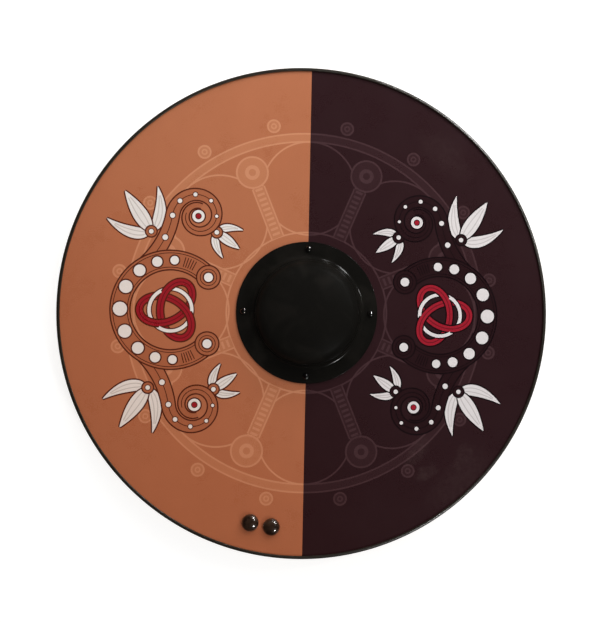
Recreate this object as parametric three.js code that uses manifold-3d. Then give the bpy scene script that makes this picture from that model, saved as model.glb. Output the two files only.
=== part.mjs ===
// A wooden round shield, lying on its back with its face up. Millimetres, +Z up.
// The origin is under the middle of the shield, on the surface that it lies on.
// A plywood board carries a thin printed skin, a boss over a hand hole, a black edging and two large
// studs. Behind it is the grip that the hand closes round.
import * as THREE from "three";
import { mergeVertices } from "three/addons/utils/BufferGeometryUtils.js";
import Module from "manifold-3d";

const wasm = await Module();
wasm.setup();
const { clamp, degToRad, lerp, smoothstep } = THREE.MathUtils;

// Clearances
const SEAT_GAP = 0.3; // between pieces that lie on one another
const SHANK_CLEARANCE = 0.3; // round a shank in its hole
const WASHER_CLEARANCE = 0.8; // round a washer in its counterbore
const HEAD_CLEARANCE = 2.1; // between a rivet's head and the round at the foot of the boss

// Board and printed skin
const SHIELD_RADIUS = 300; // to the outside of the edging
const BOARD_THICKNESS = 9;
const SKIN_THICKNESS = 0.8;
const HAND_HOLE_RADIUS = 60;

// Edging, a U section pressed over the rim, whose two ends meet at a seam
const EDGING_WALL = 1.8;
const EDGING_LIP_THICKNESS = 1.8;
const EDGING_LIP_REACH = 4.3; // from the outside of the shield inwards
const EDGING_CORNER_RADIUS = 3.2;
const EDGING_TIP_BEVEL = 0.5;
const EDGING_SEAM_ANGLE = degToRad(47.6);
const EDGING_SEAM_GAP = 0.5;

// Boss, pressed from sheet: a flat flange, a short steep wall, a round shoulder and a low crown
const BOSS_SHEET = 1.6;
const BOSS_HEIGHT = 36; // from the underside of the flange
const BOSS_SEAT_WIDTH = 6.3; // from the hand hole's edge to where the wall would meet the flange
const BOSS_FLANGE_MARGIN = 8.9; // from the rivets' middles to the flange's edge
const BOSS_WALL_LEAN = degToRad(16);
const BOSS_FILLET_RADIUS = 7;
const BOSS_SHOULDER_RADIUS = 20;
const BOSS_CROWN_RADIUS = 150;

// Four rivets through the flange, and the washers that their tails are closed over
const RIVET_SHANK_RADIUS = 2;
const RIVET_HEAD_RADIUS = 3.9;
const RIVET_HEAD_HEIGHT = 2.5;
const RIVET_TAIL_RADIUS = 3.6;
const RIVET_TAIL_HEIGHT = 1.8;
const RIVET_WASHER_RADIUS = 6.5;
const RIVET_WASHER_THICKNESS = 1.2;

// Two large domed studs near the rim, with nuts and washers behind
const STUD_INSET = 36.7; // from the outside of the shield to the studs' middles
const STUD_MIDDLE_ANGLE = degToRad(-101.2);
const STUD_GAP = 5.2; // between the two heads
const STUD_HEAD_RADIUS = 10.5;
const STUD_HEAD_HEIGHT = 7.8;
const STUD_HEAD_EDGE = 0.7; // the straight edge under the dome
const STUD_SHANK_RADIUS = 3;
const STUD_END_LENGTH = 1.6; // of shank past the nut
const STUD_WASHER_RADIUS = 9;
const STUD_WASHER_THICKNESS = 1.6;
const NUT_ACROSS_FLATS = 10;
const NUT_THICKNESS = 5;

// Grip, a wooden bar across the hand hole
const GRIP_PAST_RIVETS = 25.4; // from a rivet's middle to the grip's end
const GRIP_DEPTH = 22;
const GRIP_END_WIDTH = 34;
const GRIP_HAND_WIDTH = 27;
const GRIP_SEAT_START = 2; // from the hand hole's edge to where the grip has its end width
const GRIP_FLARE_LENGTH = 20; // over which it widens to that
const GRIP_NOSE_LENGTH = 14; // over which each end rounds off
const GRIP_NOSE_DEPTH = 12; // left at the very end
const GRIP_NOSE_WIDTH = 16; // left at the very end
const GRIP_HAND_ROUND = 8; // radius of its long edges in the hand
const GRIP_END_ROUND = 3; // radius of its long edges at its ends

// How finely round forms are cut into flats
const RIM_SEGMENTS = 72;
const BOSS_SEGMENTS = 48;
const STUD_SEGMENTS = 16;
const RIVET_SEGMENTS = 12;
const CORNER_STEPS = 3;
const NOSE_STEPS = 5;
const FLARE_STEPS = 4;
const OVERCUT = 1; // how far a cutter runs past the face that it opens

// Heights of the layers, from the grip's underside up
const BOARD_BACK = GRIP_DEPTH + SEAT_GAP;
const BOARD_FRONT = BOARD_BACK + BOARD_THICKNESS;
const SKIN_BACK = BOARD_FRONT + SEAT_GAP;
const SKIN_FRONT = SKIN_BACK + SKIN_THICKNESS;
const FLANGE_BACK = SKIN_FRONT + SEAT_GAP;
const FLANGE_FRONT = FLANGE_BACK + BOSS_SHEET;

// What fits round or inside another piece
const BOARD_RADIUS = SHIELD_RADIUS - EDGING_WALL - SEAT_GAP;
const BOSS_WALL_TILT = Math.PI / 2 - BOSS_WALL_LEAN; // of its surface's normal from upright
const BOSS_FOOT_RADIUS = HAND_HOLE_RADIUS + BOSS_SEAT_WIDTH;
const FLANGE_START_RADIUS = BOSS_FOOT_RADIUS + BOSS_FILLET_RADIUS * Math.tan(BOSS_WALL_TILT / 2);
const RIVET_CIRCLE_RADIUS = FLANGE_START_RADIUS + HEAD_CLEARANCE + RIVET_HEAD_RADIUS;
const BOSS_FLANGE_RADIUS = RIVET_CIRCLE_RADIUS + BOSS_FLANGE_MARGIN;
const STUD_CIRCLE_RADIUS = SHIELD_RADIUS - STUD_INSET;
const STUD_SPACING = 2 * STUD_HEAD_RADIUS + STUD_GAP;
const GRIP_HALF_LENGTH = RIVET_CIRCLE_RADIUS + GRIP_PAST_RIVETS;
const GRIP_FLARE_END = HAND_HOLE_RADIUS + GRIP_SEAT_START; // from the middle
const GRIP_FLARE_START = GRIP_FLARE_END - GRIP_FLARE_LENGTH;
const RIVET_HOLE_RADIUS = RIVET_SHANK_RADIUS + SHANK_CLEARANCE;
const STUD_HOLE_RADIUS = STUD_SHANK_RADIUS + SHANK_CLEARANCE;
const COUNTERBORE_RADIUS = RIVET_WASHER_RADIUS + WASHER_CLEARANCE;
const COUNTERBORE_DEPTH = RIVET_WASHER_THICKNESS + RIVET_TAIL_HEIGHT + 3 * SEAT_GAP;

const MATERIALS = {
  plywood: new THREE.MeshStandardMaterial({ color: 0xb8905f, roughness: 0.7 }),
  print: new THREE.MeshStandardMaterial({ color: 0xa96848, roughness: 0.5 }),
  edging: new THREE.MeshStandardMaterial({ color: 0x17150f, roughness: 0.3 }),
  boss: new THREE.MeshStandardMaterial({ color: 0x12110f, roughness: 0.25, metalness: 0.2 }),
  stud: new THREE.MeshStandardMaterial({ color: 0x2a1c16, roughness: 0.15, metalness: 0.7 }),
  steel: new THREE.MeshStandardMaterial({ color: 0x9a9a98, roughness: 0.4, metalness: 1 }),
  grip: new THREE.MeshStandardMaterial({ color: 0x8a5a34, roughness: 0.6 }),
};

// A regular polygon with its first corner on +X, as points of a flat outline.
function circle(x, y, radius, segments) {
  return Array.from({ length: segments }, (_, i) => {
    const angle = (2 * Math.PI * i) / segments;
    return new THREE.Vector2(x + radius * Math.cos(angle), y + radius * Math.sin(angle));
  });
}

// A flat plate of this outline, pierced by these holes, standing on z = 0.
function plate(outline, holes, thickness) {
  const shape = new THREE.Shape(outline);
  shape.holes = holes.map((points) => new THREE.Path(points));
  return new THREE.ExtrudeGeometry(shape, { depth: thickness, bevelEnabled: false });
}

// A body turned about Z from [radius, height] pairs. They run anticlockwise, seen with the radius to
// the right and the height up.
function turned(profile, segments) {
  const points = profile.map(([radius, height]) => new THREE.Vector2(radius, height));
  return new THREE.LatheGeometry(points, segments).rotateX(Math.PI / 2);
}

// Points of an arc in a profile, both ends included.
function arc(radius, height, size, from, to, steps) {
  return Array.from({ length: steps + 1 }, (_, i) => {
    const angle = from + ((to - from) * i) / steps;
    return [radius + size * Math.cos(angle), height + size * Math.sin(angle)];
  });
}

// A solid through rings of points that all have one length, with its two ends closed flat.
function loft(rings) {
  const size = rings[0].length;
  const position = rings.flat().flatMap((p) => [p.x, p.y, p.z]);
  const index = [];
  for (let ring = 0; ring + 1 < rings.length; ring++) {
    for (let i = 0; i < size; i++) {
      const a = ring * size + i;
      const b = ring * size + ((i + 1) % size);
      index.push(a, b, b + size, a, b + size, a + size);
    }
  }
  const last = (rings.length - 1) * size;
  for (let i = 1; i + 1 < size; i++) {
    index.push(0, i + 1, i, last, last + i, last + i + 1);
  }
  return new THREE.BufferGeometry()
    .setAttribute("position", new THREE.Float32BufferAttribute(position, 3))
    .setIndex(index);
}

function toSolid(geometry) {
  const bare = geometry.clone();
  bare.deleteAttribute("normal");
  bare.deleteAttribute("uv");
  const merged = mergeVertices(bare, 1e-3);
  return new wasm.Manifold(
    new wasm.Mesh({
      numProp: 3,
      vertProperties: merged.attributes.position.array,
      triVerts: new Uint32Array(merged.index.array),
    }),
  );
}

function toGeometry(solid) {
  const mesh = solid.getMesh();
  return new THREE.BufferGeometry()
    .setAttribute("position", new THREE.BufferAttribute(mesh.vertProperties, 3))
    .setIndex(new THREE.BufferAttribute(mesh.triVerts, 1));
}

// The first geometry with each of the others cut out of it.
function cut(geometry, cutters) {
  return toGeometry(cutters.reduce((left, cutter) => left.subtract(toSolid(cutter)), toSolid(geometry)));
}

// An upright cutter from one height to another.
function drill(x, y, radius, bottom, top, segments) {
  return plate(circle(x, y, radius, segments), [], top - bottom).translate(0, 0, bottom);
}

const RIVETS = ["right", "top", "left", "bottom"].map((side, i) => {
  const angle = (Math.PI / 2) * i;
  const x = RIVET_CIRCLE_RADIUS * Math.cos(angle);
  const y = RIVET_CIRCLE_RADIUS * Math.sin(angle);
  return { side, x, y, throughGrip: i % 2 === 1 };
});

const STUDS = ["left", "right"].map((side, i) => {
  const halfAngle = Math.asin(STUD_SPACING / 2 / STUD_CIRCLE_RADIUS);
  const angle = STUD_MIDDLE_ANGLE + (i === 0 ? -halfAngle : halfAngle);
  return { side, x: STUD_CIRCLE_RADIUS * Math.cos(angle), y: STUD_CIRCLE_RADIUS * Math.sin(angle) };
});

// The holes that the board and the skin share.
function faceHoles() {
  return [
    circle(0, 0, HAND_HOLE_RADIUS, BOSS_SEGMENTS),
    ...RIVETS.map(({ x, y }) => circle(x, y, RIVET_HOLE_RADIUS, RIVET_SEGMENTS)),
    ...STUDS.map(({ x, y }) => circle(x, y, STUD_HOLE_RADIUS, RIVET_SEGMENTS)),
  ];
}

// The board, or the skin on it, with its back at this height.
function discGeometry(thickness, back) {
  const outline = circle(0, 0, BOARD_RADIUS, RIM_SEGMENTS);
  return plate(outline, faceHoles(), thickness).translate(0, 0, back);
}

function edgingGeometry() {
  const mouthLow = BOARD_BACK - SEAT_GAP;
  const mouthHigh = SKIN_FRONT + SEAT_GAP;
  const low = mouthLow - EDGING_LIP_THICKNESS;
  const high = mouthHigh + EDGING_LIP_THICKNESS;
  const tip = SHIELD_RADIUS - EDGING_LIP_REACH;
  const channel = SHIELD_RADIUS - EDGING_WALL;
  const round = Math.min(EDGING_CORNER_RADIUS, EDGING_LIP_REACH - EDGING_TIP_BEVEL, (high - low) / 2);
  const profile = [
    [channel, mouthLow],
    [tip, mouthLow],
    [tip, low + EDGING_TIP_BEVEL],
    [tip + EDGING_TIP_BEVEL, low],
    ...arc(SHIELD_RADIUS - round, low + round, round, -Math.PI / 2, 0, CORNER_STEPS),
    ...arc(SHIELD_RADIUS - round, high - round, round, 0, Math.PI / 2, CORNER_STEPS),
    [tip + EDGING_TIP_BEVEL, high],
    [tip, high - EDGING_TIP_BEVEL],
    [tip, mouthHigh],
    [channel, mouthHigh],
    [channel, mouthLow],
  ];
  const seamReach = 2 * EDGING_LIP_REACH;
  const seam = new THREE.BoxGeometry(seamReach, EDGING_SEAM_GAP, 2 * (high - low))
    .translate(SHIELD_RADIUS - EDGING_LIP_REACH / 2, 0, (high + low) / 2)
    .rotateZ(EDGING_SEAM_ANGLE);
  return cut(turned(profile, RIM_SEGMENTS), [seam]);
}

// The boss's outer surface from the flange's edge to the crown's middle, as points with the tilt of
// the surface's normal from upright. Each round meets the next at one tangent.
function bossSurface() {
  const wall = { x: Math.sin(BOSS_WALL_TILT), z: Math.cos(BOSS_WALL_TILT) };
  const filletZ = FLANGE_FRONT + BOSS_FILLET_RADIUS;
  const crownZ = FLANGE_BACK + BOSS_HEIGHT - BOSS_CROWN_RADIUS;

  // The shoulder's centre is one shoulder radius inside the wall, and inside the crown's sphere.
  const startX = BOSS_FOOT_RADIUS - BOSS_SHOULDER_RADIUS * wall.x;
  const startZ = FLANGE_FRONT - BOSS_SHOULDER_RADIUS * wall.z - crownZ;
  const reach = BOSS_CROWN_RADIUS - BOSS_SHOULDER_RADIUS;
  const along = -startX * wall.z + startZ * wall.x;
  const rise = -along + Math.sqrt(along ** 2 - startX ** 2 - startZ ** 2 + reach ** 2);
  const shoulderX = startX - rise * wall.z;
  const shoulderZ = crownZ + startZ + rise * wall.x;
  const crownTilt = Math.atan2(shoulderX, shoulderZ - crownZ);

  const round = (x, z, size, from, to, steps) =>
    Array.from({ length: steps + 1 }, (_, i) => {
      const tilt = from + ((to - from) * i) / steps;
      return { radius: x + size * Math.sin(tilt), height: z + size * Math.cos(tilt), tilt };
    });
  return [
    { radius: BOSS_FLANGE_RADIUS, height: FLANGE_FRONT, tilt: 0 },
    ...round(FLANGE_START_RADIUS, filletZ, -BOSS_FILLET_RADIUS, 0, BOSS_WALL_TILT, 4),
    ...round(shoulderX, shoulderZ, BOSS_SHOULDER_RADIUS, BOSS_WALL_TILT, crownTilt, 5),
    ...round(0, crownZ, BOSS_CROWN_RADIUS, crownTilt, 0, 3).slice(1),
  ];
}

function bossGeometry() {
  const outer = bossSurface();
  const inner = outer.map(({ radius, height, tilt }) => [
    radius - BOSS_SHEET * Math.sin(tilt),
    height - BOSS_SHEET * Math.cos(tilt),
  ]);
  const profile = [...inner.reverse(), ...outer.map(({ radius, height }) => [radius, height])];
  profile[0][0] = 0;
  profile[profile.length - 1][0] = 0;
  const holes = RIVETS.map(({ x, y }) =>
    drill(x, y, RIVET_HOLE_RADIUS, FLANGE_BACK - OVERCUT, FLANGE_FRONT + OVERCUT, RIVET_SEGMENTS),
  );
  return cut(turned(profile, BOSS_SEGMENTS), holes);
}

// A dome on a flat base, half an ellipse from its edge to its middle, as profile points.
function dome(base, radius, rise, steps) {
  return Array.from({ length: steps + 1 }, (_, i) => {
    const angle = (Math.PI / 2) * (i / steps);
    return [i === steps ? 0 : radius * Math.cos(angle), base + rise * Math.sin(angle)];
  });
}

// A rivet with its head on the flange and its tail closed over a washer whose free face is at this
// height.
function rivetGeometry(washerFace) {
  const tail = dome(0, RIVET_TAIL_RADIUS, RIVET_TAIL_HEIGHT, 2);
  const tailTop = washerFace - SEAT_GAP;
  const headBase = FLANGE_FRONT + SEAT_GAP;
  const profile = [
    ...tail.reverse().map(([radius, height]) => [radius, tailTop - height]),
    [RIVET_SHANK_RADIUS, tailTop],
    [RIVET_SHANK_RADIUS, headBase],
    ...dome(headBase, RIVET_HEAD_RADIUS, RIVET_HEAD_HEIGHT, 3),
  ];
  return turned(profile, RIVET_SEGMENTS);
}

// A flat ring whose upper face is at this height.
function washerGeometry(outside, shank, thickness, top, segments) {
  const low = top - thickness;
  const hole = shank + SHANK_CLEARANCE;
  const profile = [
    [hole, low],
    [outside, low],
    [outside, top],
    [hole, top],
    [hole, low],
  ];
  return turned(profile, segments);
}

const STUD_WASHER_TOP = BOARD_BACK - SEAT_GAP;
const NUT_TOP = STUD_WASHER_TOP - STUD_WASHER_THICKNESS - SEAT_GAP;

function studGeometry() {
  const headBase = SKIN_FRONT + SEAT_GAP;
  const end = NUT_TOP - NUT_THICKNESS - STUD_END_LENGTH;
  const profile = [
    [0, end],
    [STUD_SHANK_RADIUS, end],
    [STUD_SHANK_RADIUS, headBase],
    [STUD_HEAD_RADIUS, headBase],
    ...dome(headBase + STUD_HEAD_EDGE, STUD_HEAD_RADIUS, STUD_HEAD_HEIGHT - STUD_HEAD_EDGE, 5),
  ];
  return turned(profile, STUD_SEGMENTS);
}

function nutGeometry() {
  const corner = NUT_ACROSS_FLATS / Math.sqrt(3);
  const hole = circle(0, 0, STUD_SHANK_RADIUS + SHANK_CLEARANCE, STUD_SEGMENTS);
  return plate(circle(0, 0, corner, 6), [hole], NUT_THICKNESS).translate(0, 0, NUT_TOP - NUT_THICKNESS);
}

// One section across the grip at this distance from its middle: a rectangle with round corners,
// flat on top where it lies on the board.
function gripSection(y) {
  const distance = Math.abs(y);
  const flare = smoothstep(distance, GRIP_FLARE_START, GRIP_FLARE_END);
  const past = clamp((distance - GRIP_HALF_LENGTH + GRIP_NOSE_LENGTH) / GRIP_NOSE_LENGTH, 0, 1);
  const nose = Math.sqrt(1 - past ** 2);
  const width = lerp(GRIP_NOSE_WIDTH, lerp(GRIP_HAND_WIDTH, GRIP_END_WIDTH, flare), nose);
  const depth = lerp(GRIP_NOSE_DEPTH, GRIP_DEPTH, nose);
  const bottom = GRIP_DEPTH - depth;
  const size = Math.min(lerp(GRIP_HAND_ROUND, GRIP_END_ROUND, flare), width / 2, depth / 2);
  const side = width / 2 - size;
  const corners = [
    arc(side, bottom + size, size, -Math.PI / 2, 0, CORNER_STEPS),
    arc(side, GRIP_DEPTH - size, size, 0, Math.PI / 2, CORNER_STEPS),
    arc(-side, GRIP_DEPTH - size, size, Math.PI / 2, Math.PI, CORNER_STEPS),
    arc(-side, bottom + size, size, Math.PI, 1.5 * Math.PI, CORNER_STEPS),
  ];
  return corners.flat().map(([x, z]) => new THREE.Vector3(x, y, z));
}

function gripGeometry() {
  const flareStations = Array.from(
    { length: FLARE_STEPS + 1 },
    (_, i) => GRIP_FLARE_START + (GRIP_FLARE_LENGTH * i) / FLARE_STEPS,
  );
  const noseStations = Array.from({ length: NOSE_STEPS + 1 }, (_, i) => {
    const share = Math.sin((Math.PI / 2) * (i / NOSE_STEPS));
    return GRIP_HALF_LENGTH - GRIP_NOSE_LENGTH * (1 - share);
  });
  const half = [...flareStations, ...noseStations];
  const stations = [...half.toReversed(), ...half.map((y) => -y)];
  const cutters = RIVETS.filter(({ throughGrip }) => throughGrip).flatMap(({ x, y }) => [
    drill(x, y, RIVET_HOLE_RADIUS, -OVERCUT, GRIP_DEPTH + OVERCUT, RIVET_SEGMENTS),
    drill(x, y, COUNTERBORE_RADIUS, -OVERCUT, COUNTERBORE_DEPTH, STUD_SEGMENTS),
  ]);
  return cut(loft(stations.map(gripSection)), cutters);
}

function piece(name, geometry, material) {
  const mesh = new THREE.Mesh(geometry, material);
  mesh.name = name;
  return mesh;
}

const shield = new THREE.Group();
shield.add(
  piece("board", discGeometry(BOARD_THICKNESS, BOARD_BACK), MATERIALS.plywood),
  piece("printed_skin", discGeometry(SKIN_THICKNESS, SKIN_BACK), MATERIALS.print),
  piece("edging", edgingGeometry(), MATERIALS.edging),
  piece("boss", bossGeometry(), MATERIALS.boss),
  piece("grip", gripGeometry(), MATERIALS.grip),
);

// Each rivet's washer lies on the board's back, or deep in the grip where the rivet holds that too.
for (const { side, x, y, throughGrip } of RIVETS) {
  const seat = throughGrip ? COUNTERBORE_DEPTH : BOARD_BACK;
  const washerTop = seat - SEAT_GAP;
  const washerFace = washerTop - RIVET_WASHER_THICKNESS;
  const washerArgs = [RIVET_WASHER_RADIUS, RIVET_SHANK_RADIUS, RIVET_WASHER_THICKNESS, washerTop];
  const rivet = piece(`boss_rivet_${side}`, rivetGeometry(washerFace), MATERIALS.boss);
  const washer = piece(
    `rivet_washer_${side}`,
    washerGeometry(...washerArgs, RIVET_SEGMENTS),
    MATERIALS.steel,
  );
  rivet.position.set(x, y, 0);
  washer.position.set(x, y, 0);
  shield.add(rivet, washer);
}

for (const { side, x, y } of STUDS) {
  const washerArgs = [STUD_WASHER_RADIUS, STUD_SHANK_RADIUS, STUD_WASHER_THICKNESS, STUD_WASHER_TOP];
  const stud = piece(`stud_${side}`, studGeometry(), MATERIALS.stud);
  const washer = piece(`stud_washer_${side}`, washerGeometry(...washerArgs, STUD_SEGMENTS), MATERIALS.steel);
  const nut = piece(`stud_nut_${side}`, nutGeometry(), MATERIALS.steel);
  for (const mesh of [stud, washer, nut]) {
    mesh.position.set(x, y, 0);
    shield.add(mesh);
  }
}

export default shield;
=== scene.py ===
# The looks of a wooden round shield that lies face up on its grip, in metres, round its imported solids.
import math

import bmesh
import bpy
from mathutils import Matrix, Vector
from mathutils.geometry import delaunay_2d_cdt


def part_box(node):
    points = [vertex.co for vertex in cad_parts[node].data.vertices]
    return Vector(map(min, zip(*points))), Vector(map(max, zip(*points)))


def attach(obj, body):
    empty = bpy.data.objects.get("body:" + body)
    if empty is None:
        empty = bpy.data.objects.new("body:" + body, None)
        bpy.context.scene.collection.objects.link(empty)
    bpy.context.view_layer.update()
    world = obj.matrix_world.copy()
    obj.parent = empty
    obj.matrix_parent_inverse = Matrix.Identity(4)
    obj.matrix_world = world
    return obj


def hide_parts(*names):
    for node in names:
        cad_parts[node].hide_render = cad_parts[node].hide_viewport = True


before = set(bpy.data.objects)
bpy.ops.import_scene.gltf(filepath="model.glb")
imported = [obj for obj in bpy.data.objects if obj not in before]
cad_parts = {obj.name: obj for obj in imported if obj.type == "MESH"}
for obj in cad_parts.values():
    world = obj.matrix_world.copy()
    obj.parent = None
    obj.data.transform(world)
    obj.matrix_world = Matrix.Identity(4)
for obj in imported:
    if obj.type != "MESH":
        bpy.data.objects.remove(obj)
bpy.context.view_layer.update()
scene = bpy.context.scene

MM = 0.001
TURN = 2 * math.pi
SHARP_ANGLE = 30  # degrees between faces from which an edge looks sharp


def middle(node):
    """The middle of a solid's box."""
    low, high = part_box(node)
    return (low + high) / 2


def heights(node):
    """The lowest and highest level of a solid."""
    low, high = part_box(node)
    return low.z, high.z


# Sizes and levels that the solids give
SHIELD_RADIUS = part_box("edging")[1].x
BOARD_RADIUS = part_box("board")[1].x
BOSS_FLANGE_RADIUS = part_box("boss")[1].x
EDGING_LOW, EDGING_HIGH = heights("edging")
BOARD_BACK, BOARD_FRONT = heights("board")
SKIN_BACK, SKIN_FRONT = heights("printed_skin")
FLANGE_BACK, BOSS_TOP = heights("boss")
RIVET_SIDES = ("top", "right", "bottom", "left")
STUD_SIDES = ("left", "right")
RIVET_PLACES = {side: middle(f"boss_rivet_{side}").xy for side in RIVET_SIDES}
STUD_PLACES = {side: middle(f"stud_{side}").xy for side in STUD_SIDES}

# Sizes that the solids were made with
SEAT_GAP = 0.3 * MM
SHANK_CLEARANCE = 0.3 * MM
WASHER_CLEARANCE = 0.8 * MM
HAND_HOLE_RADIUS = 60 * MM
EDGING_WALL = 1.8 * MM
EDGING_LIP_REACH = 4.3 * MM
EDGING_CORNER_RADIUS = 3.2 * MM
EDGING_TIP_ROUND = 0.5 * MM
EDGING_SEAM_ANGLE = math.radians(47.6)
EDGING_SEAM_GAP = 0.5 * MM
BOSS_SHEET = 1.6 * MM
BOSS_FOOT_RADIUS = 66.3 * MM
BOSS_WALL_TILT = math.radians(74)
BOSS_FILLET_RADIUS = 7 * MM
BOSS_SHOULDER_RADIUS = 20 * MM
BOSS_CROWN_RADIUS = 150 * MM
RIVET_SHANK_RADIUS = 2 * MM
RIVET_HEAD_RADIUS = 3.9 * MM
RIVET_HEAD_HEIGHT = 2.5 * MM
RIVET_TAIL_RADIUS = 3.6 * MM
RIVET_TAIL_HEIGHT = 1.8 * MM
STUD_SHANK_RADIUS = 3 * MM
STUD_HEAD_EDGE = 0.7 * MM
GRIP_DEPTH = heights("grip")[1]
GRIP_HALF_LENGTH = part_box("grip")[1].y
GRIP_END_WIDTH = 34 * MM
GRIP_HAND_WIDTH = 27 * MM
GRIP_FLARE_START = 42 * MM
GRIP_FLARE_END = 62 * MM
GRIP_NOSE_LENGTH = 14 * MM
GRIP_NOSE_DEPTH = 12 * MM
GRIP_NOSE_WIDTH = 16 * MM
GRIP_HAND_ROUND = 8 * MM
GRIP_END_ROUND = 3 * MM


# Meshes


def new_piece(name, mesh, materials, nodes):
    """A piece that rides on the shield, stands for these solids and takes its finish from this slot."""
    piece = bpy.data.objects.new(name, mesh)
    scene.collection.objects.link(piece)
    for material in materials:
        mesh.materials.append(material)
    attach(piece, "root")
    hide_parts(*nodes)
    return piece


def finished(bm, name, sharp=SHARP_ANGLE):
    """The mesh of a bmesh, closed and facing out, smooth but for edges sharper than this."""
    bmesh.ops.remove_doubles(bm, verts=bm.verts, dist=1e-7)
    bmesh.ops.recalc_face_normals(bm, faces=bm.faces)
    mesh = bpy.data.meshes.new(name)
    bm.to_mesh(mesh)
    bm.free()
    mesh.shade_smooth()
    mesh.set_sharp_from_angle(angle=math.radians(sharp))
    return mesh


def add_turned(bm, profile, segments, centre=(0, 0), start=0.0, sweep=TURN):
    """Turns a closed or axis-to-axis profile of (radius, height) pairs about an upright axis."""
    whole = abs(sweep - TURN) < 1e-9
    closed = profile[0] == profile[-1]
    points = profile[:-1] if closed else profile
    count = segments if whole else segments + 1
    rings = []
    for i in range(count):
        angle = start + sweep * i / segments
        cosine, sine = math.cos(angle), math.sin(angle)
        rings.append(
            [bm.verts.new((centre[0] + r * cosine, centre[1] + r * sine, z)) for r, z in points]
        )
    spans = len(points) if closed else len(points) - 1
    for i in range(segments):
        this, following = rings[i], rings[(i + 1) % count]
        for j in range(spans):
            k = (j + 1) % len(points)
            quad = [this[j], following[j], following[k], this[k]]
            if points[j][0] < 1e-9:
                quad = [this[j], following[k], this[k]]
            elif points[k][0] < 1e-9:
                quad = [this[j], following[j], this[k]]
            bm.faces.new(quad)
    if not whole:
        bm.faces.new(rings[0])
        bm.faces.new(rings[-1])


def turned(name, profile, segments, centre=(0, 0), **part):
    bm = bmesh.new()
    add_turned(bm, profile, segments, centre, **part)
    return finished(bm, name)


def arc(x, z, size, start, end, steps):
    """Points of an arc, its two ends among them."""
    angles = [start + (end - start) * i / steps for i in range(steps + 1)]
    return [(x + size * math.cos(a), z + size * math.sin(a)) for a in angles]


def dome(base, radius, rise, steps):
    """Half an ellipse from its edge to its middle."""
    angles = [TURN / 4 * i / steps for i in range(steps)]
    points = [(radius * math.cos(a), base + rise * math.sin(a)) for a in angles]
    return points + [(0, base + rise)]


def drilled(piece, holes, segments=32):
    """The piece with upright holes, each (x, y, radius, lowest, highest)."""
    bm = bmesh.new()
    for x, y, radius, low, high in holes:
        profile = [(0, low), (radius, low), (radius, high), (0, high)]
        add_turned(bm, profile, segments, (x, y))
    cutter = bpy.data.objects.new("cutter", finished(bm, "cutter"))
    scene.collection.objects.link(cutter)
    cut = piece.modifiers.new("holes", "BOOLEAN")
    cut.operation = "DIFFERENCE"
    cut.solver = "EXACT"
    cut.object = cutter
    shown = piece.evaluated_get(bpy.context.evaluated_depsgraph_get())
    mesh = bpy.data.meshes.new_from_object(shown)
    mesh.set_sharp_from_angle(angle=math.radians(SHARP_ANGLE))
    piece.modifiers.clear()
    piece.data = mesh
    mesh.name = piece.name
    bpy.data.objects.remove(cutter)
    return piece


# Materials


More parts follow.
